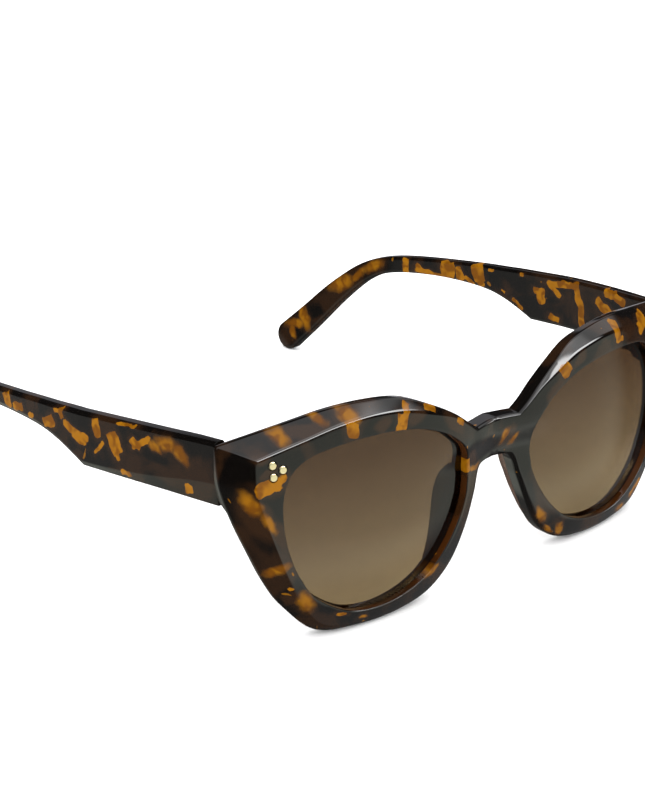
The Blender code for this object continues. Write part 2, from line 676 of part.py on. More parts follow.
def main():
    clear_scene()
    parts = make_collection("cat_eye_sunglasses")
    cutters = make_collection("cutters")
    tortoiseshell = make_material("tortoiseshell", (0.045, 0.022, 0.011), 0.12)
    lens_tint = make_material("lens_tint", (0.16, 0.11, 0.06), 0.03, alpha=0.85)
    pad_acetate = make_material("pad_acetate", (0.10, 0.055, 0.035), 0.2)
    steel = make_material("hinge_steel", (0.55, 0.53, 0.5), 0.3, metallic=1.0)
    gold = make_material("gold", (0.83, 0.62, 0.28), 0.25, metallic=1.0)

    root = make_empty("glasses", parts)
    build_front(parts, cutters, root, tortoiseshell)
    front_plate = ((FRONT_PLATE_INNER, BUTT_Y + GAP, HINGE_Z - PLATE_HEIGHT / 2),
                   (HINGE_X + KNUCKLE_RADIUS, BUTT_Y + GAP + PLATE_THICKNESS,
                    HINGE_Z + PLATE_HEIGHT / 2))
    front_leaf = ((HINGE_X - LEAF_HALF_WIDTH, BUTT_Y + GAP + PLATE_THICKNESS / 2),
                  (HINGE_X + LEAF_HALF_WIDTH, HINGE_Y))
    for side, label in ((1, "left"), (-1, "right")):
        build_lens("lens_" + label, side, parts, root, lens_tint)
        build_nose_pad("nose_pad_" + label, side, parts, root, pad_acetate)
        for number, place in enumerate(RIVETS, start=1):
            rivet = build_rivet_solid(place, RIVET_RADIUS, -RIVET_PROUD, RIVET_LENGTH, side)
            make_object(f"rivet_{label}_{number}", rivet, gold, parts, root)
        build_hinge("front_hinge_" + label, side, (0, 2, 4), front_plate, front_leaf,
                    parts, cutters, root, steel)
        build_screw("hinge_screw_" + label, side, parts, cutters, root, steel)

        pivot = make_empty("temple_pivot_" + label, parts, root,
                           (side * HINGE_X, HINGE_Y, HINGE_Z))
        build_temple("temple_" + label, side, parts, cutters, pivot, tortoiseshell)
        core = build_wire("temple_core_" + label, CORE_START, CORE_RADIUS, side)
        make_object("temple_core_" + label, core, steel, parts, pivot)
        face_x = TEMPLE_INNER_FACE[0] - GAP
        outer_corner = (face_x, HINGE_Y + TEMPLE_PLATE_LENGTH, HINGE_Z + PLATE_HEIGHT / 2)
        inner_corner = (face_x - PLATE_THICKNESS, HINGE_Y - LEAF_HALF_WIDTH,
                        HINGE_Z - PLATE_HEIGHT / 2)
        turn = (Matrix.Translation((face_x, BUTT_Y, 0))
                @ Matrix.Rotation(-TEMPLE_HEAD_YAW, 4, "Z")
                @ Matrix.Translation((-face_x, -BUTT_Y, 0)))
        temple_leaf = ((HINGE_X, HINGE_Y - LEAF_HALF_WIDTH),
                       (face_x - PLATE_THICKNESS / 2, HINGE_Y + LEAF_HALF_WIDTH))
        build_hinge("temple_hinge_" + label, side, (1, 3), (inner_corner, outer_corner, turn),
                    temple_leaf, parts, cutters, pivot, steel)
    stand_on_ground(root, parts)


main()
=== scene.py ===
"""Cat eye sunglasses: fine surfaces, materials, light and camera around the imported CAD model.

Shapes are drawn in the front's own frame, in millimetres: x towards the wearer's left, y backwards
along the temples, z up, with x = 0 in the middle of the bridge and z = 0 at the lens centres.
TO_WORLD leans that frame back, the way the glasses stand on the floor.
"""
import json
import math

import bmesh
import bpy
from mathutils import Matrix, Vector


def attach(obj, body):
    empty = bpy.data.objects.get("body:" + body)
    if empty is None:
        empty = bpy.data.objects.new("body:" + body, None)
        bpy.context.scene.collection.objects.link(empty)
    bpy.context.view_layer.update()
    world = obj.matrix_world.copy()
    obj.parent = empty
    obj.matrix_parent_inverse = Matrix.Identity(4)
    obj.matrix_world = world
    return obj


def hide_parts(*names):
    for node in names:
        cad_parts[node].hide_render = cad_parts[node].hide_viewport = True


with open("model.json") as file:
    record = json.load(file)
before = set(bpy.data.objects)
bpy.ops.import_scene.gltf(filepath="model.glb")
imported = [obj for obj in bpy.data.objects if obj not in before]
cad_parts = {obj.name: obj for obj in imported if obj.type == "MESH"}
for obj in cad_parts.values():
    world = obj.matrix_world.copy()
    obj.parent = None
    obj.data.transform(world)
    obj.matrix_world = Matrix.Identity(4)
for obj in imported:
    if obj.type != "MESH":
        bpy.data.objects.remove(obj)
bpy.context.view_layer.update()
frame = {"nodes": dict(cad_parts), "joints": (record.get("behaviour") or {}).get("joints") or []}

MM = 0.001

# The same driving sizes as the CAD model.
EYE_SIZE = 51.0
BRIDGE = 19.0
LENS_CENTRE = (EYE_SIZE + BRIDGE) / 2
FRONT_THICKNESS = 4.2
WRAP_CURVE = 0.0028
BASE_CURVE = 0.0105
HEIGHT_CURVE = 0.0019
WRAP_TWIST = 0.00025
FACE_TILT = 0.0185
WRAP_END = 52.0
BRIDGE_SOFTNESS = 6.0
BROW_LIFT = 1.6
BROW_LIFT_X = (30.0, 8.0)
BROW_LIFT_Z = (4.0, 12.0)
YAW_STEP = 0.05
GROOVE_FRONT = 1.7
GROOVE_APEX = 2.5
GROOVE_BACK = 3.3
GROOVE_DEPTH = 0.9
LENS_BEVEL = 0.5
BUTT_Y = 17.0
LUG_INNER = 61.0
LUG_FULL = 63.0
LUG_LOW = 8.3
LUG_LOW_FULL = 10.3
LUG_HIGH_FULL = 20.8
LUG_HIGH = 22.5
ON_MIDDLE_PLANE = 1e-6
HINGE_X = 63.2
HINGE_Y = 19.7
HINGE_Z = 14.6

# Round the wearer's left rim: aperture edge, facet ridge, outline, and the facet's fall.
RIM_STATIONS = [
    ((10.1, 4.8), (1.2, 8.2), (0.0, 8.2), 0.0),
    ((10.5, 7.6), (1.0, 12.9), (0.0, 13.5), 0.5),
    ((11.6, 10.0), (6.7, 12.6), (6.4, 13.1), 0.5),
    ((13.8, 12.3), (9.7, 14.7), (9.2, 15.1), 0.5),
    ((17.6, 14.9), (13.9, 17.4), (13.3, 18.1), 0.7),
    ((23.8, 17.4), (19.9, 19.7), (19.2, 21.3), 1.0),
    ((30.6, 18.8), (27.5, 22.1), (26.8, 24.4), 1.7),
    ((38.0, 19.3), (36.5, 23.3), (36.2, 25.7), 2.2),
    ((45.6, 19.0), (45.6, 22.8), (46.0, 25.7), 2.5),
    ((52.4, 17.7), (54.8, 21.0), (56.0, 24.4), 2.8),
    ((56.9, 14.9), (63.8, 19.0), (70.6, 22.3), 3.1),
    ((59.1, 10.4), (64.4, 12.6), (71.1, 14.0), 3.2),
    ((59.6, 5.0), (63.1, 5.9), (69.4, 6.6), 3.1),
    ((58.8, -1.0), (61.2, -1.0), (66.5, -1.0), 2.7),
    ((56.5, -7.2), (58.9, -7.6), (63.2, -8.1), 2.3),
    ((52.3, -13.3), (55.8, -13.9), (58.9, -14.6), 1.6),
    ((44.8, -18.1), (50.2, -20.3), (51.4, -21.5), 0.8),
    ((36.8, -19.5), (41.0, -22.1), (41.3, -23.0), 0.7),
    ((28.6, -18.5), (30.8, -22.1), (30.8, -23.0), 0.7),
    ((22.2, -15.9), (21.6, -20.6), (21.2, -21.4), 0.7),
    ((16.8, -11.3), (15.0, -16.1), (14.3, -16.7), 0.7),
    ((12.9, -6.0), (10.7, -9.2), (9.9, -9.6), 0.7),
    ((10.8, -1.6), (7.6, -1.9), (6.8, -2.3), 0.7),
    ((10.2, 1.4), (5.4, 3.7), (4.7, 3.1), 0.7),
    ((10.0, 3.2), (1.0, 5.1), (0.0, 4.3), 0.6),
]
BRIDGE_TOP = 1
BRIDGE_NOTCH = 2
CAT_EYE_CORNER = 10
BRIDGE_UNDERSIDE = 24
MITRE_START = 9.96
MITRE_END = 10.3
MITRE_STEPS = 12
RIM_STEPS = 14

# Temples: top edge, bottom edge (both y, z), outer face x and thickness.
TEMPLE_STATIONS = [
    ((17.3, 22.9), (17.3, 8.8), 68.9, 3.0),
    ((24.0, 22.7), (24.0, 8.9), 70.0, 3.4),
    ((32.0, 22.4), (32.0, 9.0), 71.2, 3.4),
    ((44.0, 21.8), (44.0, 8.8), 72.5, 3.4),
    ((57.3, 20.8), (57.3, 8.2), 73.1, 3.3),
    ((62.0, 20.5), (61.5, 10.0), 73.1, 3.3),
    ((67.0, 20.1), (66.5, 11.8), 73.0, 3.2),
    ((73.0, 19.7), (72.5, 13.1), 72.8, 3.1),
    ((81.0, 19.0), (80.5, 13.6), 72.4, 3.1),
    ((90.0, 18.2), (89.5, 13.5), 71.7, 3.1),
    ((98.5, 17.3), (97.5, 12.9), 70.8, 3.1),
    ((105.0, 16.3), (103.3, 12.1), 70.0, 3.1),
    ((110.6, 14.8), (107.7, 11.0), 69.1, 3.1),
    ((115.6, 12.6), (111.8, 9.0), 68.3, 3.2),
    ((120.3, 9.6), (115.8, 6.0), 67.4, 3.3),
    ((127.2, 4.3), (122.2, 0.1), 66.1, 3.4),
    ((135.0, -2.7), (129.3, -7.3), 64.4, 3.5),
    ((142.3, -9.0), (135.8, -13.8), 62.7, 3.5),
]
TEMPLE_STEP = 4
TEMPLE_STEPS = 10
TIP_ROUND_STEPS = 14
CHAMFER = 0.8
SOFT_EDGE = 0.5
LOWER_BEVEL_FRONT = 5.0
LOWER_BEVEL_BACK = 1.2
LOWER_BEVEL_DEPTH = 0.7
TEMPLE_ROUNDING = 0.22
TIP_SWEEP = 85
TIP_PINCH = 0.3
TIP_DRIFT = 0.25
TIP_LEAST_EDGE = 0.1

# The temple's soft front end: how far each of its first sections is pulled in and moved back.
HEAD_SECTIONS = [(0.18, 0.0), (0.05, 0.06), (0.0, 0.2)]

# Rim edges: how far each rounding reaches from its corner.
APERTURE_ROUNDING = 0.4
RIDGE_ROUNDING = 0.7
OUTLINE_ROUNDING = 0.45
ROUNDING_REACH = 3.0
ROUND_POINTS = 5
LONGEST_ROUNDING = 0.45
SHARP_ANGLE = 35

RIVETS = [(60.5, 17.7), (58.5, 16.5), (60.7, 15.3)]
RIVET_RADIUS = 0.92
RIVET_PROUD = 0.12
RIVET_BACK = 0.7
RIVET_EDGE = 0.3
POCKET_RADIUS = 1.05
POCKET_TOP = 1.0
POCKET_DEPTH = 0.8
DISC_STEPS = 48
DISC_EDGE_STEPS = 5

PAD_FIRST = 23.4
PAD_LAST = 19.3
PAD_HEIGHT = 6.4
PAD_HALF_WIDTH = 1.7
PAD_FLARE = 0.4
PAD_INSET = 1.9
PAD_SKEW = 0.85
PAD_TAPER = 0.45
PAD_END_SWELL = 0.03
PAD_FULLNESS = 0.6
PAD_CLEARANCE = 0.03
PAD_ROWS = 48
PAD_COLUMNS = 24


def find_world_matrix():
    """Front frame in millimetres to world: the left fold's axis is the front frame's z."""
    fold = next(joint for joint in frame["joints"] if joint["name"] == "left_temple_fold")
    axis = Vector(fold["axis"])
    lean = -math.atan2(axis.y, axis.z)
    pivot = Vector((HINGE_X, HINGE_Y, HINGE_Z))
    return (Matrix.Translation(fold["pos_m"]) @ Matrix.Rotation(lean, 4, "X")
            @ Matrix.Scale(MM, 4) @ Matrix.Translation(-pivot))


TO_WORLD = find_world_matrix()


# ---------------------------------------------------------------- curves of the front

def smooth_step(low, high, value):
    t = min(max((value - low) / (high - low), 0.0), 1.0)
    return t * t * (3 - 2 * t)


def spline(rows, s, closed=False, corners=()):
    """Catmull-Rom through rows of numbers, at station s, with no rounding at the corners."""
    count = len(rows)
    k = math.floor(s)
    t = s - k

    def row(i):
        return Vector(rows[i % count] if closed else rows[min(max(i, 0), count - 1)])

    before, start, end, after = row(k - 1), row(k), row(k + 1), row(k + 2)
    if k % count in corners:
        before = 2 * start - end
    if (k + 1) % count in corners:
        after = 2 * end - start
    bend_in = (end - before) / 2
    bend_out = (after - start) / 2
    h1 = 2 * t ** 3 - 3 * t ** 2 + 1
    h2 = t ** 3 - 2 * t ** 2 + t
    h3 = 3 * t ** 2 - 2 * t ** 3
    h4 = t ** 3 - t ** 2
    return h1 * start + h2 * bend_in + h3 * end + h4 * bend_out


def sharp_rim_at(s):
    corners = (BRIDGE_TOP, BRIDGE_NOTCH, CAT_EYE_CORNER, BRIDGE_UNDERSIDE)
    aperture = spline([row[0] for row in RIM_STATIONS], s, closed=True)
    ridge = spline([row[1] for row in RIM_STATIONS], s, True, corners)
    outline = spline([(*row[2], row[3]) for row in RIM_STATIONS], s, True, corners)
    return [aperture, ridge, outline.xy, outline.z]


def rim_at(s):
    """Aperture edge, facet ridge, outline and facet fall, with the cat-eye corner just softened."""
    here = sharp_rim_at(s)
    t = (s - MITRE_START) / (MITRE_END - MITRE_START)
    if 0 < t < 1:
        before = sharp_rim_at(MITRE_START)
        corner = sharp_rim_at(CAT_EYE_CORNER)
        after = sharp_rim_at(MITRE_END)
        here = [a * (1 - t) ** 2 + b * 2 * t * (1 - t) + c * t ** 2
                for a, b, c in zip(before, corner, after)]
    if here[2].x < ON_MIDDLE_PLANE:
        here[3] = bridge_fall(here[2].y)
    return here


def bridge_fall(z):
    """In the middle of the bridge, the facets start only past the ridge lines."""
    top = RIM_STATIONS[BRIDGE_TOP]
    under = RIM_STATIONS[BRIDGE_UNDERSIDE]
    above = (z - top[1][1]) / (top[2][1] - top[1][1])
    below = (under[1][1] - z) / (under[1][1] - under[2][1])
    return top[3] * max(above, below, 0.0)


def face_depth(x, z):
    """Depth of the curved front face behind the plane y = 0."""
    reach = math.sqrt(x * x + BRIDGE_SOFTNESS ** 2)
    inner = min(reach, WRAP_END)
    side = inner - LENS_CENTRE
    depth = WRAP_CURVE * inner ** 2 / 2 + BASE_CURVE * (side ** 2 + z * z) / 2
    depth += HEIGHT_CURVE * z * z / 2 + WRAP_TWIST * side * z - FACE_TILT * inner
    depth -= BROW_LIFT * smooth_step(*BROW_LIFT_X, abs(x)) * smooth_step(*BROW_LIFT_Z, z)
    end_slope = WRAP_CURVE * WRAP_END + BASE_CURVE * (WRAP_END - LENS_CENTRE) - FACE_TILT
    return depth + end_slope * (reach - inner)


def face_yaw(x, z):
    rise = face_depth(x + YAW_STEP, z) - face_depth(x - YAW_STEP, z)
    return math.atan(rise / (2 * YAW_STEP))


def shell_point(place, depth):
    """The point that lies at a depth behind the front face, square to it in plan."""
    x, z = place
    yaw = face_yaw(x, z)
    return Vector((x - depth * math.sin(yaw), face_depth(x, z) + depth * math.cos(yaw), z))


def back_depth(place):
    x, z = place
    share = smooth_step(LUG_INNER, LUG_FULL, x) * smooth_step(LUG_LOW, LUG_LOW_FULL, z)
    share *= 1 - smooth_step(LUG_HIGH_FULL, LUG_HIGH, z)
    to_butt = (BUTT_Y - face_depth(x, z)) / math.cos(face_yaw(x, z))
    return FRONT_THICKNESS + share * (max(to_butt, FRONT_THICKNESS) - FRONT_THICKNESS)


def towards(start, end, distance):
    return start + (end - start).normalized() * distance


def round_corner(before, corner, after, reach):
    """A corner of a section replaced by a short curve that starts reach before it."""
    start = towards(corner, before, min(reach, (before - corner).length * LONGEST_ROUNDING))
    end = towards(corner, after, min(reach, (after - corner).length * LONGEST_ROUNDING))
    curve = []
    for i in range(ROUND_POINTS):
        t = i / (ROUND_POINTS - 1)
        curve.append(start * (1 - t) ** 2 + corner * 2 * t * (1 - t) + end * t ** 2)
    return curve


def round_section(points, reaches):
    """A closed section with each corner rounded by its own reach; None keeps the point."""
    section = []
    count = len(points)
    for i, (point, reach) in enumerate(zip(points, reaches)):
        if reach is None:
            section.append(point)
        else:
            section.extend(round_corner(points[i - 1], point, points[(i + 1) % count], reach))
    return section


# ---------------------------------------------------------------- making pieces

def skin(bm, rows, closed_rows=False, skip=lambda i, j: False):
    """Quads between rows of points; each row is one closed section."""
    verts = [[bm.verts.new(point) for point in row] for row in rows]
    row_count = len(rows)
    column_count = len(rows[0])
    for i in range(row_count if closed_rows else row_count - 1):
        for j in range(column_count):
            if not skip(i, j):
                this_row = verts[i]
                next_row = verts[(i + 1) % row_count]
                k = (j + 1) % column_count
                bm.faces.new((this_row[j], next_row[j], next_row[k], this_row[k]))
    return verts


def piece_from(bm, name, side=1):
    """An object in world metres from a bmesh in front-frame millimetres."""
    if side < 0:
        bmesh.ops.scale(bm, vec=(-1, 1, 1), verts=bm.verts)
        bmesh.ops.reverse_faces(bm, faces=bm.faces)
    mesh = bpy.data.meshes.new(name)
    bmesh.ops.transform(bm, matrix=TO_WORLD, verts=bm.verts)
    bm.to_mesh(mesh)
    bm.free()
    piece = bpy.data.objects.new(name, mesh)
    bpy.context.scene.collection.objects.link(piece)
    return piece


def bake_modifiers(piece):
    """The object's evaluated mesh takes the place of its modifiers."""
    bpy.context.view_layer.update()
    depsgraph = bpy.context.evaluated_depsgraph_get()
    mesh = bpy.data.meshes.new_from_object(piece.evaluated_get(depsgraph))
    piece.modifiers.clear()
    piece.data = mesh


def cut_out(piece, tool):
    modifier = piece.modifiers.new("cut", "BOOLEAN")
    modifier.operation = "DIFFERENCE"
    modifier.solver = "EXACT"
    modifier.object = tool


def finish_piece(piece, material, body, slot, *nodes):
    """Smooth shading, material, and the piece's place in the frame."""
    for polygon in piece.data.polygons:
        polygon.use_smooth = True
    piece.data.set_sharp_from_angle(angle=math.radians(SHARP_ANGLE))
    normals = piece.modifiers.new("weighted_normals", "WEIGHTED_NORMAL")
    normals.keep_sharp = True
    slots = [polygon.material_index for polygon in piece.data.polygons]
    piece.data.materials.clear()
    for each in material if isinstance(material, list) else [material]:
        piece.data.materials.append(each)
    piece.data.polygons.foreach_set("material_index", slots)
    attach(piece, body)
    if nodes:
        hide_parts(*nodes)
    return piece


# ---------------------------------------------------------------- front

# The last points of a section, from the rounded back edge round the lens groove.
INNER_WALL_POINTS = ROUND_POINTS + 3


def front_section(s):
    """The rim's cross-section at station s, edges rounded."""
    aperture, ridge, outline, fall = rim_at(s)
    groove = towards(aperture, ridge, GROOVE_DEPTH)
    outer = OUTLINE_ROUNDING * smooth_step(0.0, ROUNDING_REACH, outline.x)

    def face(share, start=aperture, end=ridge, depth=0.0):
        return shell_point(start.lerp(end, share), depth)

    def back(share):
        place = aperture.lerp(outline, share)
        return shell_point(place, back_depth(place))

    points = [
        (face(0), APERTURE_ROUNDING),
        (face(0.25), None),
        (face(0.5), None),
        (face(0.75), None),
        (face(1), RIDGE_ROUNDING),
        (face(0.5, ridge, outline, fall / 2), None),
        (shell_point(outline, fall), outer),
        (shell_point(outline, back_depth(outline)), outer),
        (back(0.8), None),
        (back(0.6), None),
        (back(0.4), None),
        (back(0.2), None),
        (shell_point(aperture, back_depth(aperture)), APERTURE_ROUNDING),
        (shell_point(aperture, GROOVE_BACK), None),
        (shell_point(groove, GROOVE_APEX), None),
        (shell_point(aperture, GROOVE_FRONT), None),
    ]
    return round_section([point for point, _ in points], [reach for _, reach in points])


def rim_stations():
    """Stations round the rim, closer together at the cat-eye corner."""
    stations = [i / RIM_STEPS for i in range(len(RIM_STATIONS) * RIM_STEPS)]
    span = MITRE_END - MITRE_START
    mitre = [MITRE_START + span * i / MITRE_STEPS for i in range(MITRE_STEPS + 1)]
    spacing = span / MITRE_STEPS
    clear = [s for s in stations if not MITRE_START - spacing < s < MITRE_END + spacing]
    return sorted(clear + mitre)


def build_front(material, painted_glow_material):
    stations = rim_stations()
    count = len(stations)
    on_plane = [rim_at(s)[2].x < ON_MIDDLE_PLANE for s in stations]
    first_outline = ROUND_POINTS * 2 + 4
    last_outline = first_outline + 2 * ROUND_POINTS - 1

    def open_at_bridge(i, j):
        return on_plane[i] and on_plane[(i + 1) % count] and first_outline <= j < last_outline

    bm = bmesh.new()
    verts = skin(bm, [front_section(s) for s in stations], closed_rows=True, skip=open_at_bridge)
    wall_verts = {vert for row in verts for vert in row[-INNER_WALL_POINTS:] + row[:2]}
    # The inner wall's faces take the second material, whose painted glow stands in for light
    # shining through the thin rim.
    for face in bm.faces:
        face.material_index = int(all(vert in wall_verts for vert in face.verts))
    loose = [vert for vert in bm.verts if not vert.link_faces]
    bmesh.ops.delete(bm, geom=loose, context="VERTS")
    bmesh.ops.remove_doubles(bm, verts=bm.verts, dist=0.001)
    other_half = bm.copy()
    bmesh.ops.scale(other_half, vec=(-1, 1, 1), verts=other_half.verts)
    bmesh.ops.reverse_faces(other_half, faces=other_half.faces)
    spare = bpy.data.meshes.new("other_half")
    other_half.to_mesh(spare)
    other_half.free()
    bm.from_mesh(spare)
    bpy.data.meshes.remove(spare)
    bmesh.ops.remove_doubles(bm, verts=bm.verts, dist=0.002)
    front = piece_from(bm, "acetate_front")
    pockets = [build_disc("pocket", place, POCKET_RADIUS, -POCKET_TOP, POCKET_DEPTH, side)
               for side in (1, -1) for place in RIVETS]
    for pocket in pockets:
        cut_out(front, pocket)
    bake_modifiers(front)
    for pocket in pockets:
        bpy.data.objects.remove(pocket)
    return finish_piece(front, [material, painted_glow_material], "front", "tortoiseshell", "front_frame")


def face_turn(place):
    """Rotation from +z to the direction that goes squarely into the front face."""
    across = shell_point((place[0] + 1, place[1]), 0) - shell_point((place[0] - 1, place[1]), 0)
    up = shell_point((place[0], place[1] + 1), 0) - shell_point((place[0], place[1] - 1), 0)
    return up.cross(across).normalized().to_track_quat("Z", "Y").to_matrix().to_4x4()


def build_disc(name, place, radius, front, back, side, edge=0.0):
    """A short turned pin, square to the front face; edge rounds its front rim."""
    turns = [i / DISC_EDGE_STEPS for i in range(DISC_EDGE_STEPS + 1)] if edge else [1.0]
    profile = [(0.0, front)]
    for turn in turns:
        angle = math.radians(90) * turn
        reach = radius - edge * (1 - math.sin(angle))
        profile.append((reach, front + edge * (1 - math.cos(angle))))
    profile += [(radius, back), (0.0, back)]
    bm = bmesh.new()
    outline = [bm.verts.new((r, 0, z)) for r, z in profile]
    edges = [bm.edges.new(pair) for pair in zip(outline, outline[1:])]
    bmesh.ops.spin(bm, geom=outline + edges, cent=(0, 0, 0), axis=(0, 0, 1),
                   angle=2 * math.pi, steps=DISC_STEPS, use_merge=True)
    bmesh.ops.remove_doubles(bm, verts=bm.verts, dist=0.0005)
    bmesh.ops.recalc_face_normals(bm, faces=bm.faces)
    at = Matrix.Translation(shell_point(place, 0)) @ face_turn(place)
    bmesh.ops.transform(bm, matrix=at, verts=bm.verts)
    return piece_from(bm, name, side)


def build_rivets(material):
    for side, label in ((1, "left"), (-1, "right")):
        for number, place in enumerate(RIVETS, start=1):
            disc = build_disc(f"gold_dot_{label}_{number}", place, RIVET_RADIUS, -RIVET_PROUD,
                              RIVET_BACK, side, RIVET_EDGE)
            finish_piece(disc, material, "front", "gold", f"rivet_{label}_{number}")


# ---------------------------------------------------------------- lenses and pads

LENS_STEPS = 8
LENS_RINGS = 10
LENS_CLEARANCE = 0.06
LENS_INSET = 0.05


def build_lens(name, side, node, material):
    """A curved disc that follows the front face, with a V bevel that sits in the groove."""
    count = len(RIM_STATIONS) * LENS_STEPS
    apertures = [rim_at(i / LENS_STEPS)[0] for i in range(count)]
    centre = Vector((LENS_CENTRE, 0.0))

    def ring(share, depth, grow):
        return [shell_point(centre + (towards(edge, centre, -grow) - centre) * share, depth)
                for edge in apertures]

    front_depth = GROOVE_FRONT + LENS_INSET
    rear_depth = GROOVE_BACK - LENS_INSET
    shares = [i / LENS_RINGS for i in range(1, LENS_RINGS + 1)]
    rings = [ring(share, front_depth, -LENS_CLEARANCE) for share in shares]
    rings.append(ring(1.0, GROOVE_APEX, LENS_BEVEL))
    rings.extend(ring(share, rear_depth, -LENS_CLEARANCE) for share in reversed(shares))
    bm = bmesh.new()
    verts = skin(bm, rings)
    for edge_ring, depth in ((verts[0], front_depth), (verts[-1][::-1], rear_depth)):
        middle = bm.verts.new(shell_point(centre, depth))
        for i in range(count):
            bm.faces.new((middle, edge_ring[(i + 1) % count], edge_ring[i]))
    bmesh.ops.recalc_face_normals(bm, faces=bm.faces)
    return finish_piece(piece_from(bm, name, side), material, "front", "lens_tint", node)


def build_nose_pad(name, side, node, material):
    """A low rounded ridge along the nasal back of the rim, leaning outwards from the nose."""
    rows = []
    for i in range(PAD_ROWS):
        t = i / (PAD_ROWS - 1)
        along = PAD_END_SWELL + (1 - 2 * PAD_END_SWELL) * t ** PAD_SKEW
        swell = math.sin(math.pi * along) ** PAD_FULLNESS
        crest = PAD_HEIGHT * (1 - PAD_TAPER * t)
        aperture, _, outline, _ = rim_at(PAD_FIRST + (PAD_LAST - PAD_FIRST) * t)
        centre = towards(outline, aperture, PAD_INSET)
        half_width = PAD_HALF_WIDTH * swell ** 0.5
        row = []
        for j in range(PAD_COLUMNS):
            angle = math.pi * j / (PAD_COLUMNS - 1)
            height = math.sin(angle) * swell
            across = math.cos(angle) * half_width + PAD_FLARE * height
            base = back_depth(centre) + PAD_CLEARANCE
            row.append(shell_point(towards(centre, aperture, across), base + crest * height))
        rows.append(row)
    bm = bmesh.new()
    verts = skin(bm, rows)
    bm.faces.new(verts[0])
    bm.faces.new(verts[-1][::-1])
    bmesh.ops.recalc_face_normals(bm, faces=bm.faces)
    return finish_piece(piece_from(bm, name, side), material, "front", "pad_acetate", node)


# ---------------------------------------------------------------- temples

def temple_section(top, bottom, outer, thickness, bevel, depth, edge):
    up = (top - bottom).normalized()
    inner = outer - thickness

    def point(x, from_top=None, from_bottom=None):
        place = top - up * from_top if from_bottom is None else bottom + up * from_bottom
        return Vector((x, place.x, place.y))

    soft = min(SOFT_EDGE, edge)
    corners = [
        point(outer, from_top=edge),
        point(outer - edge, from_top=0),
        point(inner + soft, from_top=0),
        point(inner, from_top=soft),
        point(inner, from_bottom=soft),
        point(inner + soft, from_bottom=0),
        point(outer - depth, from_bottom=0),
        point(outer, from_bottom=bevel),
    ]
    outer_reaches = [TEMPLE_ROUNDING] * 2
    return round_section(corners, outer_reaches + [soft] * 4 + outer_reaches)


def temple_row(s):
    rows = [(*top, *bottom, outer, thick) for top, bottom, outer, thick in TEMPLE_STATIONS]
    return spline(rows, s, corners=(TEMPLE_STEP,))


def temple_sections():
    sections = []
    for i in range((len(TEMPLE_STATIONS) - 1) * TEMPLE_STEPS + 1):
        s = i / TEMPLE_STEPS
        row = temple_row(s)
        bevel = LOWER_BEVEL_FRONT
        bevel += (LOWER_BEVEL_BACK - LOWER_BEVEL_FRONT) * smooth_step(0, TEMPLE_STEP, s)
        sections.append(temple_section(Vector(row[0:2]), Vector(row[2:4]), row[4], row[5],
                                       bevel, LOWER_BEVEL_DEPTH, CHAMFER))
    top = Vector(TEMPLE_STATIONS[-1][0])
    bottom = Vector(TEMPLE_STATIONS[-1][1])
    outer, thickness = TEMPLE_STATIONS[-1][2:]
    across = (top - bottom) / 2
    centre = (top + bottom) / 2
    along = Vector((across.y, -across.x))
    for i in range(1, TIP_ROUND_STEPS + 1):
        angle = math.radians(TIP_SWEEP) * i / TIP_ROUND_STEPS
        middle = centre + along * math.sin(angle)
        half = across * math.cos(angle)
        inset = thickness * TIP_PINCH * (1 - math.cos(angle))
        drift = -TIP_DRIFT * across.length * math.sin(angle)
        bevel, depth, edge = (full * math.cos(angle) + TIP_LEAST_EDGE
                              for full in (LOWER_BEVEL_BACK, LOWER_BEVEL_DEPTH, CHAMFER))
        sections.append(temple_section(middle + half, middle - half, outer + drift - inset,
                                       thickness - 2 * inset, bevel, depth, edge))
    return sections


def shrink_section(section, amount, y_shift):
    """The section pulled in towards its middle, for the soft edge of the butt face."""
    middle = sum(section, Vector((0, 0, 0))) / len(section)
    return [towards(point, middle, amount) + Vector((0, y_shift, 0)) for point in section]


def build_temple(name, side, body, node, material):
    sections = temple_sections()
    sections[:1] = [shrink_section(sections[0], *step) for step in HEAD_SECTIONS]
    bm = bmesh.new()
    verts = skin(bm, sections)
    bm.faces.new(verts[0])
    bm.faces.new(verts[-1][::-1])
    bmesh.ops.remove_doubles(bm, verts=bm.verts, dist=0.0005)
    bmesh.ops.recalc_face_normals(bm, faces=bm.faces)
    return finish_piece(piece_from(bm, name, side), material, body, "tortoiseshell", node)


# ---------------------------------------------------------------- materials

def new_material(name):
    material = bpy.data.materials.new(name)
    material.use_nodes = True
    return material, material.node_tree.nodes, material.node_tree.links


def front_coordinates(nodes, links):
    """The point shaded, in the front frame in millimetres, at rest."""
    coordinates = nodes.new("ShaderNodeTexCoord")
    mapping = nodes.new("ShaderNodeMapping")
    back = TO_WORLD.inverted()
    mapping.inputs["Location"].default_value = back.translation
    mapping.inputs["Rotation"].default_value = back.to_euler()
    mapping.inputs["Scale"].default_value = back.to_scale()
    links.new(coordinates.outputs["Object"], mapping.inputs["Vector"])
    return mapping.outputs["Vector"]


def noise(nodes, links, vector, scale, detail=2.0, distortion=0.0):
    node = nodes.new("ShaderNodeTexNoise")
    node.inputs["Scale"].default_value = scale
    node.inputs["Detail"].default_value = detail
    node.inputs["Distortion"].default_value = distortion
    links.new(vector, node.inputs["Vector"])
    return node


def ramp(nodes, links, value, stops):
    node = nodes.new("ShaderNodeValToRGB")
    elements = node.color_ramp.elements
    while len(elements) < len(stops):
        elements.new(0.5)
    for element, (position, colour) in zip(elements, stops):
        element.position = position
        element.color = (*colour, 1.0)
    links.new(value, node.inputs["Fac"])
    return node.outputs["Color"]


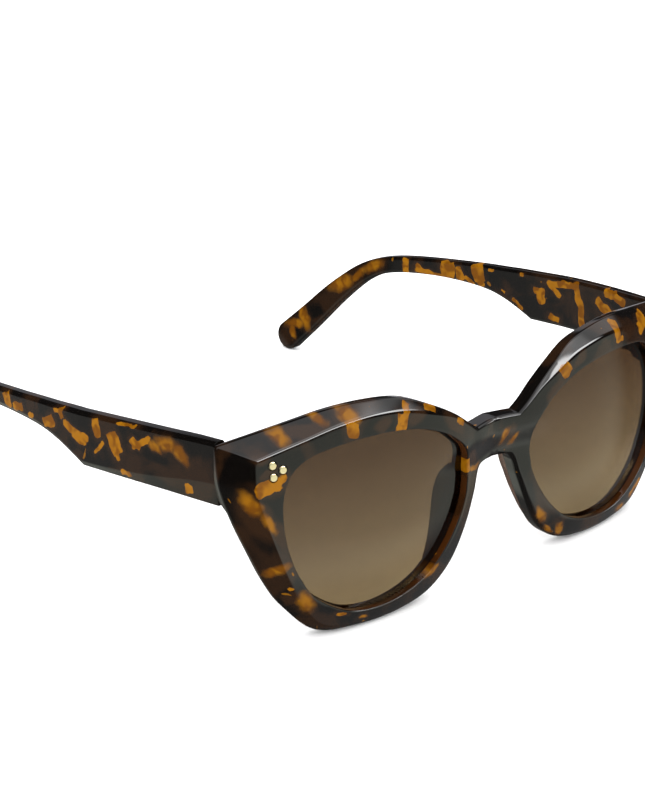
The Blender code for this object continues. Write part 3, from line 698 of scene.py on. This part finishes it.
def mix(nodes, links, factor, first, second):
    node = nodes.new("ShaderNodeMix")
    node.data_type = "RGBA"
    sockets = (node.inputs[0], node.inputs[6], node.inputs[7])
    for socket, value in zip(sockets, (factor, first, second)):
        if isinstance(value, bpy.types.NodeSocket):
            links.new(value, socket)
        else:
            socket.default_value = value
    return node.outputs[2]


# Amber patches: position in the sheet, half length, half width and turn in degrees. The front's
# sheet lies in x and z, a temple's in y and z.
FRONT_CRISP = [
    (-61.9, 13.6, 2.6, 1.2, 14), (-59.0, 14.7, 1.4, 0.6, 39), (-42.1, 21.4, 1.5, 1.3, 76),
    (-29.5, 19.7, 1.9, 1.2, 61), (-27.5, 22.1, 1.9, 0.8, 42),
    (-46.3, -18.6, 1.2, 0.3, -24), (-58.1, -9.6, 0.5, 0.3, -53),
    (-20.7, 21.4, 1.4, 0.6, -30), (-12.6, 16.4, 1.2, 0.5, -43), (-10.0, 5.2, 1.6, 0.5, -76),
    (21.6, 19.4, 1.7, 1.1, 25), (42.2, 22.9, 2.2, 1.2, 80), (42.6, 21.0, 1.6, 0.4, -5),
    (55.0, 21.5, 2.8, 1.2, 20), (62.5, 12.5, 2.4, 1.1, 70), (60.6, 1.5, 1.8, 0.8, 80),
    (50.5, -18.0, 2.4, 0.8, 35),
]
FRONT_SOFT = [
    (-65.6, 10.4, 2.4, 1.1, -58), (-62.6, 5.9, 2.0, 0.8, -64), (-57.0, 22.6, 1.4, 1.3, -70),
    (-48.0, 24.4, 1.2, 1.0, -27), (-41.7, 24.3, 1.8, 1.5, -20), (-40.5, -20.8, 0.9, 0.4, -26),
    (-7.5, 4.1, 1.6, 0.5, -5), (5.0, 7.3, 1.2, 0.6, 42), (17.2, -18.0, 1.6, 0.5, -39),
    (43.9, -20.9, 1.6, 0.8, 2), (65.0, 18.0, 2.4, 1.2, 20), (2.4, 8.9, 1.6, 0.6, 55),
    (14.3, -13.4, 2.0, 0.9, -60), (20.8, -19.2, 1.5, 0.9, -80), (-54.8, -13.5, 2.4, 1.3, -65),
    (-60.8, -5.0, 1.9, 1.0, 27), (-21.3, -15.9, 1.8, 0.7, 25),
]
FRONT_BROWN = [
    (-64.5, 7.0, 6.5, 3.0, -60), (-60.5, 3.0, 3.5, 2.0, -70), (-62.5, 19.5, 2.2, 1.4, 15),
    (-52.0, 22.9, 5.0, 1.2, 0), (-61.5, 16.5, 2.4, 1.0, 30), (-25.0, 20.5, 3.0, 1.6, 20),
    (-34.5, 21.0, 2.6, 1.4, 20), (-14.5, 16.5, 4.0, 1.8, -45), (-8.5, 6.5, 2.4, 1.6, -50),
    (3.2, 8.8, 2.8, 1.8, 50), (17.5, 15.8, 4.0, 1.4, 35), (47.0, 21.5, 4.5, 1.6, 0),
    (27.0, 20.5, 3.0, 1.0, 25), (60.0, 17.0, 6.0, 3.0, 40), (-57.5, -12.0, 2.0, 1.6, -50),
]
RIGHT_TEMPLE_CRISP = [
    (85.2, 16.3, 1.7, 1.3, 60), (80.8, 15.7, 1.6, 0.9, -20), (75.7, 15.2, 0.9, 0.5, -30),
    (68.8, 15.3, 1.9, 1.2, -25), (64.6, 19.1, 1.7, 0.5, -18), (63.7, 18.6, 1.2, 0.6, 60),
    (59.8, 16.0, 2.6, 0.9, 22), (57.0, 14.9, 2.3, 1.2, 10), (51.4, 18.4, 1.8, 1.1, 80),
    (50.8, 14.0, 2.0, 0.4, -51), (45.6, 16.2, 2.2, 1.6, 60), (44.9, 13.8, 1.0, 0.6, 75),
    (37.3, 18.4, 2.6, 0.6, -30), (39.0, 17.9, 1.3, 0.7, 30), (41.8, 21.2, 2.4, 0.3, -5),
    (42.6, 10.4, 1.2, 0.6, -4), (24.9, 11.1, 1.1, 0.8, -85), (92.0, 15.6, 2.6, 1.2, 15),
    (98.6, 14.6, 1.7, 0.9, -80), (105.8, 13.6, 2.4, 0.9, -30),
]
RIGHT_TEMPLE_SOFT = [
    (30.2, 19.8, 2.6, 1.2, -10), (26.6, 18.4, 2.4, 1.1, 50), (33.4, 18.4, 1.6, 0.8, 20),
    (113.0, 10.6, 2.8, 1.3, -35), (121.5, 4.6, 3.6, 1.4, -30), (132.0, -5.2, 3.4, 1.4, -20),
    (137.6, -9.5, 2.0, 1.2, 50),
]
LEFT_TEMPLE_CRISP = [
    (99.8, 14.7, 2.0, 0.9, -87), (90.5, 14.0, 5.2, 0.7, 2), (94.6, 14.6, 1.6, 0.7, 25),
    (85.7, 15.9, 2.1, 2.0, 87), (81.5, 15.6, 1.5, 1.0, 60), (75.3, 17.2, 2.2, 1.6, 70),
    (74.6, 15.2, 1.5, 0.8, 60), (78.4, 14.5, 1.6, 0.5, 25), (71.0, 18.6, 0.8, 0.4, -11),
    (60.1, 19.7, 0.7, 0.4, -11), (54.3, 16.6, 1.8, 0.9, -4), (53.4, 14.9, 1.5, 1.1, 60),
    (45.6, 20.1, 4.6, 0.7, -6), (48.6, 18.2, 2.6, 0.7, 35), (40.4, 18.4, 3.0, 0.9, 75),
    (39.2, 14.4, 2.8, 1.0, 80), (39.4, 11.5, 1.6, 0.5, 85), (27.0, 21.0, 3.4, 0.9, 10),
    (31.2, 17.4, 2.6, 1.2, 30), (61.8, 11.6, 1.8, 0.5, 35), (48.7, 10.6, 1.7, 0.7, 6),
    (66.6, 13.8, 0.6, 0.3, 17), (22.0, 15.0, 1.8, 1.0, 60),
]
LEFT_TEMPLE_SOFT = [
    (110.6, 13.0, 2.8, 1.2, -25), (115.5, 9.6, 2.6, 0.9, -45), (121.2, 6.3, 3.6, 1.6, -22),
    (133.4, -5.0, 3.2, 1.2, 60), (136.6, -7.6, 2.8, 1.2, -20), (137.4, -10.0, 1.6, 0.9, 60),
]
PATCH_DEPTH = 60.0
TEMPLE_PATCH_DEPTH = 1200.0
# An angular patch's outline: shares of the box round it and of the oval in it.
BOX_SHARE = 0.7
OVAL_SHARE = 0.3


def scattered(nodes, links, vector, size, reach):
    """The point moved by up to reach millimetres, in a pattern of the given size."""
    cells = noise(nodes, links, vector, 1 / size, 1.0)
    centred = vector_math(nodes, links, "SUBTRACT", cells.outputs["Color"], (0.5, 0.5, 0.5))
    shift = vector_math(nodes, links, "SCALE", centred, None, 2 * reach)
    return vector_math(nodes, links, "ADD", vector, shift)


def vector_math(nodes, links, operation, first, second=None, scale=None):
    node = nodes.new("ShaderNodeVectorMath")
    node.operation = operation
    for socket, value in zip(node.inputs, (first, second)):
        if isinstance(value, bpy.types.NodeSocket):
            links.new(value, socket)
        elif value is not None:
            socket.default_value = value
    if scale is not None:
        node.inputs["Scale"].default_value = scale
    return node.outputs["Value" if operation in ("LENGTH", "DOT_PRODUCT") else "Vector"]


def math_node(nodes, links, operation, first, second=None):
    node = nodes.new("ShaderNodeMath")
    node.operation = operation
    for socket, value in zip(node.inputs, (first, second)):
        if isinstance(value, bpy.types.NodeSocket):
            links.new(value, socket)
        elif value is not None:
            socket.default_value = value
    return node.outputs["Value"]


def fade(nodes, links, value, zero_at, one_at):
    """0 where the value is zero_at, 1 where it is one_at, smoothly between and level outside."""
    node = nodes.new("ShaderNodeMapRange")
    node.interpolation_type = "SMOOTHSTEP"
    flip = zero_at > one_at
    node.inputs["From Min"].default_value = one_at if flip else zero_at
    node.inputs["From Max"].default_value = zero_at if flip else one_at
    node.inputs["To Min"].default_value = 1.0 if flip else 0.0
    node.inputs["To Max"].default_value = 0.0 if flip else 1.0
    links.new(value, node.inputs["Value"])
    return node.outputs["Result"]


def rescaled(nodes, links, value, low, high, at_low=0.0, at_high=1.0):
    """low where the value is at_low, high where it is at_high, evenly between."""
    node = nodes.new("ShaderNodeMapRange")
    node.inputs["From Min"].default_value = at_low
    node.inputs["From Max"].default_value = at_high
    node.inputs["To Min"].default_value = low
    node.inputs["To Max"].default_value = high
    links.new(value, node.inputs["Value"])
    return node.outputs["Result"]


def largest_part(nodes, links, vector):
    """The largest coordinate of a vector, without its sign."""
    split = nodes.new("ShaderNodeSeparateXYZ")
    links.new(vector_math(nodes, links, "ABSOLUTE", vector), split.inputs["Vector"])
    wide = math_node(nodes, links, "MAXIMUM", split.outputs["X"], split.outputs["Y"])
    return math_node(nodes, links, "MAXIMUM", wide, split.outputs["Z"])


def patch_distance(nodes, links, vector, patches, in_front, angular=False):
    """Distance to the nearest patch's middle, 1 at its edge; patches are oval or angular."""
    nearest = None
    for across, height, length, width, turn in patches:
        mapping = nodes.new("ShaderNodeMapping")
        mapping.vector_type = "TEXTURE"
        if in_front:
            mapping.inputs["Location"].default_value = (across, 0.0, height)
            mapping.inputs["Rotation"].default_value = (0.0, -math.radians(turn), 0.0)
            mapping.inputs["Scale"].default_value = (length, PATCH_DEPTH, width)
        else:
            mapping.inputs["Location"].default_value = (0.0, across, height)
            mapping.inputs["Rotation"].default_value = (math.radians(turn), 0.0, 0.0)
            mapping.inputs["Scale"].default_value = (TEMPLE_PATCH_DEPTH, length, width)
        links.new(vector, mapping.inputs["Vector"])
        distance = vector_math(nodes, links, "LENGTH", mapping.outputs["Vector"])
        if angular:
            box = largest_part(nodes, links, mapping.outputs["Vector"])
            distance = math_node(nodes, links, "ADD",
                                 math_node(nodes, links, "MULTIPLY", box, BOX_SHARE),
                                 math_node(nodes, links, "MULTIPLY", distance, OVAL_SHARE))
        if nearest is not None:
            distance = math_node(nodes, links, "MINIMUM", nearest, distance)
        nearest = distance
    return nearest


DARK_ACETATE = (0.0018, 0.0013, 0.001, 1)
BROWN_ACETATE = (0.018, 0.0076, 0.0028, 1)
AMBER_ACETATE = (0.235, 0.092, 0.0025, 1)
DEEP_AMBER = (0.125, 0.042, 0.0015, 1)
# Painted glow: the rim's inner wall gets this warmer dark base in place of light shining through
# the thin acetate.
PAINTED_GLOW_WALL = (0.045, 0.014, 0.003, 1)

# The patches' outlines: size and reach of their waves, in millimetres.
OUTLINE_WAVES = (3.2, 0.9)
OUTLINE_FRAY = (1.1, 0.25)
CLOUD_SCALE = 0.1
FLECK_SCALE = 0.33
POLISH_SCALE = 0.6

# Where each effect starts and where it is full, then how strong it is when it isn't 1.
CRISP_EDGE = (1.24, 1.12)
SOFT_EDGE_FADE = (1.7, 0.5)
SOFT_STRENGTH = 0.8
FLECK_EDGE = (0.735, 0.76)
FLECK_STRENGTH = 0.6
HALO_EDGE = (2.6, 1.0)
HALO_CLOUDS = (0.3, 0.55)
CLOUD_EDGE = (0.47, 0.62)
CLOUD_STRENGTH = 0.75
BROWN_EDGE = (1.25, 0.6)
AMBER_SHADES = (0.36, 0.58)

ACETATE_ROUGHNESS = (0.045, 0.085)
ACETATE_IOR = 1.49
DARK_GLEAM = 0.5
AMBER_GLEAM = 0.24


def make_tortoiseshell(name, crisp, soft, brown, in_front, painted_glow=False):
    """Dark acetate with brown clouds and amber patches; the rim wall's dark base is warmer, a
    painted glow for light shining through thin acetate.
    """
    material, nodes, links = new_material(name)
    shader = nodes["Principled BSDF"]
    place = front_coordinates(nodes, links)
    wavy = scattered(nodes, links, place, *OUTLINE_WAVES)
    wavy = scattered(nodes, links, wavy, *OUTLINE_FRAY)
    crisp_distance = patch_distance(nodes, links, wavy, crisp, in_front, angular=True)
    soft_distance = patch_distance(nodes, links, wavy, soft, in_front)
    clouds = noise(nodes, links, place, CLOUD_SCALE, 3.0, 0.5).outputs["Fac"]
    flecks = noise(nodes, links, place, FLECK_SCALE, 1.0, 0.6).outputs["Fac"]

    crisp_amber = fade(nodes, links, crisp_distance, *CRISP_EDGE)
    soft_amber = fade(nodes, links, soft_distance, *SOFT_EDGE_FADE)
    soft_amber = math_node(nodes, links, "MULTIPLY", soft_amber, SOFT_STRENGTH)
    fleck_amber = fade(nodes, links, flecks, *FLECK_EDGE)
    fleck_amber = math_node(nodes, links, "MULTIPLY", fleck_amber, FLECK_STRENGTH)
    amber = math_node(nodes, links, "MAXIMUM", crisp_amber, soft_amber)
    amber = math_node(nodes, links, "MAXIMUM", amber, fleck_amber)

    near = math_node(nodes, links, "MINIMUM", crisp_distance, soft_distance)
    halo = fade(nodes, links, near, *HALO_EDGE)
    halo = math_node(nodes, links, "MULTIPLY", halo, fade(nodes, links, clouds, *HALO_CLOUDS))
    drifting = fade(nodes, links, clouds, *CLOUD_EDGE)
    drifting = math_node(nodes, links, "MULTIPLY", drifting, CLOUD_STRENGTH)
    cover = math_node(nodes, links, "MAXIMUM", halo, drifting)
    if brown:
        zone = fade(nodes, links, patch_distance(nodes, links, wavy, brown, in_front), *BROWN_EDGE)
        cover = math_node(nodes, links, "MAXIMUM", cover, zone)

    # Painted glow on the rim's inner wall: a warmer dark base stands in for light shining through.
    dark = PAINTED_GLOW_WALL if painted_glow else DARK_ACETATE
    colour = mix(nodes, links, cover, dark, BROWN_ACETATE)
    shade = mix(nodes, links, fade(nodes, links, flecks, *AMBER_SHADES), DEEP_AMBER, AMBER_ACETATE)
    colour = mix(nodes, links, amber, colour, shade)
    links.new(colour, shader.inputs["Base Color"])
    polish = noise(nodes, links, place, POLISH_SCALE, 3.0).outputs["Fac"]
    links.new(rescaled(nodes, links, polish, *ACETATE_ROUGHNESS), shader.inputs["Roughness"])
    shader.inputs["IOR"].default_value = ACETATE_IOR
    gleam = rescaled(nodes, links, amber, DARK_GLEAM, AMBER_GLEAM)
    links.new(gleam, shader.inputs["Specular IOR Level"])
    return material


LENS_TOP = (0.204, 0.146, 0.093)
LENS_MIDDLE = (0.312, 0.252, 0.174)
LENS_LOW = (0.49, 0.42, 0.30)
LENS_HALF_HEIGHT = 20.0
LENS_ROUGHNESS = 0.02
LENS_REFLECTION = 0.04


def make_lens_tint():
    material, nodes, links = new_material("gradient_lens")
    nodes.remove(nodes["Principled BSDF"])
    place = front_coordinates(nodes, links)
    separate = nodes.new("ShaderNodeSeparateXYZ")
    links.new(place, separate.inputs["Vector"])
    height = rescaled(nodes, links, separate.outputs["Z"], 0.0, 1.0,
                      -LENS_HALF_HEIGHT, LENS_HALF_HEIGHT)
    tint = ramp(nodes, links, height, [(0.0, LENS_LOW), (0.45, LENS_MIDDLE), (0.9, LENS_TOP)])
    clear = nodes.new("ShaderNodeBsdfTransparent")
    links.new(tint, clear.inputs["Color"])
    gloss = nodes.new("ShaderNodeBsdfGlossy")
    gloss.inputs["Roughness"].default_value = LENS_ROUGHNESS
    facing = nodes.new("ShaderNodeLayerWeight")
    facing.inputs["Blend"].default_value = 0.5
    grazing = math_node(nodes, links, "POWER", facing.outputs["Facing"], 5.0)
    grazing = math_node(nodes, links, "MULTIPLY", grazing, 1 - LENS_REFLECTION)
    share = math_node(nodes, links, "ADD", grazing, LENS_REFLECTION)
    blend = nodes.new("ShaderNodeMixShader")
    links.new(share, blend.inputs["Fac"])
    links.new(clear.outputs["BSDF"], blend.inputs[1])
    links.new(gloss.outputs["BSDF"], blend.inputs[2])
    links.new(blend.outputs["Shader"], nodes["Material Output"].inputs["Surface"])
    return material


PAD_DARK = (0.060, 0.030, 0.019)
PAD_LIGHT = (0.095, 0.048, 0.030)


def make_pad_acetate():
    material, nodes, links = new_material("pad_acetate")
    shader = nodes["Principled BSDF"]
    place = front_coordinates(nodes, links)
    cloud = noise(nodes, links, place, 0.2, 2.0)
    colour = ramp(nodes, links, cloud.outputs["Fac"], [(0.4, PAD_DARK), (0.65, PAD_LIGHT)])
    links.new(colour, shader.inputs["Base Color"])
    shader.inputs["Roughness"].default_value = 0.15
    shader.inputs["Specular IOR Level"].default_value = 0.2
    return material


METAL_GRAIN_SCALE = 6.0
METAL_DARKEST = 0.9
METAL_WEAR = (0.8, 1.3)


def make_metal(name, colour, roughness):
    """Metal whose tone and roughness vary a little with a fine grain."""
    material, nodes, links = new_material(name)
    shader = nodes["Principled BSDF"]
    place = front_coordinates(nodes, links)
    grain = noise(nodes, links, place, METAL_GRAIN_SCALE, 3.0).outputs["Fac"]
    darkest = tuple(channel * METAL_DARKEST for channel in colour)
    tone = ramp(nodes, links, grain, [(0.3, darkest), (0.7, colour)])
    links.new(tone, shader.inputs["Base Color"])
    wear = rescaled(nodes, links, grain, *(roughness * share for share in METAL_WEAR))
    links.new(wear, shader.inputs["Roughness"])
    shader.inputs["Metallic"].default_value = 1.0
    return material


# ---------------------------------------------------------------- studio

# Light panels of the studio: azimuth from straight behind the glasses towards the wearer's left,
# elevation, half width and half height in degrees, and brightness.
PANELS = [
    ((148, 40), (28, 5), (13.0, 13.0, 13.0)),
    ((150, 50), (26, 12), (2.6, 2.6, 2.6)),
    ((160, 72), (60, 18), (1.2, 1.2, 1.2)),
    ((158, -10), (45, 24), (0.80, 0.84, 0.72)),
    ((130, -42), (60, 16), (0.22, 0.22, 0.22)),
    ((-50, -45), (45, 14), (0.45, 0.47, 0.40)),
    ((-50, -22), (45, 10), (0.20, 0.20, 0.19)),
    ((44, 23), (16, 5), (0.45, 0.45, 0.48)),
    ((32, 9), (9, 6), (0.25, 0.25, 0.27)),
    ((42, -10), (30, 12), (0.6, 0.6, 0.64)),
]
PANEL_SOFTNESS = 0.25
AHEAD_FADE = (0.0, 0.05)
LEAST_AHEAD = 0.01
ROOM_LIGHT = 2.0
STUDIO_HIGH = (0.03, 0.03, 0.032, 1)
STUDIO_LOW = (0.13, 0.13, 0.125, 1)
LOW_FADE = (0.0, -0.2)
FLOOR_HALF_WIDTH = 2.5
FLOOR_COLOUR = (0.95, 0.95, 0.95, 1)


def panel_share(nodes, links, direction, place, size):
    """1 where a direction meets a light panel, 0 outside it, soft at its edges."""
    azimuth, elevation = (math.radians(angle) for angle in place)
    middle = Vector((math.sin(azimuth) * math.cos(elevation),
                     math.cos(azimuth) * math.cos(elevation), math.sin(elevation)))
    across = Vector((math.cos(azimuth), -math.sin(azimuth), 0.0))
    upwards = across.cross(middle)
    ahead = vector_math(nodes, links, "DOT_PRODUCT", direction, middle)
    share = fade(nodes, links, ahead, *AHEAD_FADE)
    ahead = math_node(nodes, links, "MAXIMUM", ahead, LEAST_AHEAD)
    for axis, half_angle in ((across, size[0]), (upwards, size[1])):
        offset = vector_math(nodes, links, "DOT_PRODUCT", direction, axis)
        offset = math_node(nodes, links, "ABSOLUTE", offset)
        slope = math_node(nodes, links, "DIVIDE", offset, ahead)
        limit = math.tan(math.radians(half_angle))
        inside = fade(nodes, links, slope,
                      limit * (1 + PANEL_SOFTNESS), limit * (1 - PANEL_SOFTNESS))
        share = math_node(nodes, links, "MULTIPLY", share, inside)
    return share


def build_world():
    """An even white room; polished surfaces mirror the light panels of a darker studio."""
    world = bpy.data.worlds.new("studio")
    world.use_nodes = True
    nodes = world.node_tree.nodes
    links = world.node_tree.links
    room = nodes["Background"]
    room.inputs["Color"].default_value = (1, 1, 1, 1)
    room.inputs["Strength"].default_value = ROOM_LIGHT

    direction = nodes.new("ShaderNodeTexCoord").outputs["Generated"]
    split = nodes.new("ShaderNodeSeparateXYZ")
    links.new(direction, split.inputs["Vector"])
    low = fade(nodes, links, split.outputs["Z"], *LOW_FADE)
    colour = mix(nodes, links, low, STUDIO_HIGH, STUDIO_LOW)
    for place, size, brightness in PANELS:
        share = panel_share(nodes, links, direction, place, size)
        glow = vector_math(nodes, links, "SCALE", brightness)
        links.new(share, glow.node.inputs["Scale"])
        colour = vector_math(nodes, links, "ADD", colour, glow)
    mirrored = nodes.new("ShaderNodeBackground")
    links.new(colour, mirrored.inputs["Color"])

    ray = nodes.new("ShaderNodeLightPath")
    choose = nodes.new("ShaderNodeMixShader")
    links.new(ray.outputs["Is Glossy Ray"], choose.inputs["Fac"])
    links.new(room.outputs["Background"], choose.inputs[1])
    links.new(mirrored.outputs["Background"], choose.inputs[2])
    links.new(choose.outputs["Shader"], nodes["World Output"].inputs["Surface"])
    bpy.context.scene.world = world


def build_studio():
    """A pale matt floor, and the room and light panels round it."""
    bm = bmesh.new()
    bmesh.ops.create_grid(bm, x_segments=8, y_segments=8, size=FLOOR_HALF_WIDTH)
    mesh = bpy.data.meshes.new("floor")
    bm.to_mesh(mesh)
    bm.free()
    floor = bpy.data.objects.new("floor", mesh)
    bpy.context.scene.collection.objects.link(floor)
    floor.visible_glossy = False
    material, nodes, links = new_material("pale_floor")
    shader = nodes["Principled BSDF"]
    shader.inputs["Base Color"].default_value = FLOOR_COLOUR
    shader.inputs["Roughness"].default_value = 0.9
    shader.inputs["Specular IOR Level"].default_value = 0.0
    mesh.materials.append(material)
    build_world()
    bpy.context.scene.view_settings.view_transform = "Standard"


# The camera stands in front, to the wearer's right and above: lens in millimetres, place in the
# front frame, and turn in degrees.
FOCAL_LENGTH = 98.73
CAMERA_SHIFT = (0.0015, -0.0014)
CAMERA_PLACE = (-333.33, -306.07, 179.73)
CAMERA_TURN = (67.903, -0.987, -42.746)


def place_camera():
    data = bpy.data.cameras.new("camera")
    data.sensor_width = 36.0
    data.lens = FOCAL_LENGTH
    data.shift_x, data.shift_y = CAMERA_SHIFT
    data.clip_start = 0.01
    data.clip_end = 20.0
    camera = bpy.data.objects.new("camera", data)
    camera.location = TO_WORLD @ Vector(CAMERA_PLACE)
    camera.rotation_euler = [math.radians(angle) for angle in CAMERA_TURN]
    bpy.context.scene.collection.objects.link(camera)
    bpy.context.scene.camera = camera


# ---------------------------------------------------------------- the whole

front_patches = (FRONT_CRISP, FRONT_SOFT, FRONT_BROWN)
front_shell = make_tortoiseshell("tortoiseshell_front", *front_patches, True)
# The rim's inner wall: the same pattern with a painted glow in its dark base.
painted_glow_shell = make_tortoiseshell("tortoiseshell_painted_glow_wall", *front_patches, True, painted_glow=True)
temple_shells = {
    1: make_tortoiseshell("tortoiseshell_left", LEFT_TEMPLE_CRISP, LEFT_TEMPLE_SOFT, [], False),
    -1: make_tortoiseshell("tortoiseshell_right", RIGHT_TEMPLE_CRISP, RIGHT_TEMPLE_SOFT, [], False),
}
lens_tint = make_lens_tint()
pad_acetate = make_pad_acetate()
steel = make_metal("hinge_steel", (0.62, 0.60, 0.57), 0.28)
gold = make_metal("polished_gold", (1.0, 0.86, 0.55), 0.16)

build_front(front_shell, painted_glow_shell)
build_rivets(gold)
for side, label, arm in ((1, "left", "left_arm"), (-1, "right", "right_arm")):
    build_lens("sun_lens_" + label, side, "lens_" + label, lens_tint)
    build_nose_pad("soft_pad_" + label, side, "nose_pad_" + label, pad_acetate)
    build_temple("acetate_temple_" + label, side, arm, "temple_" + label, temple_shells[side])
    for node in ("front_hinge_", "temple_hinge_", "hinge_screw_", "temple_core_"):
        materials = frame["nodes"][node + label].data.materials
        materials.clear()
        materials.append(steel)

build_studio()
place_camera()
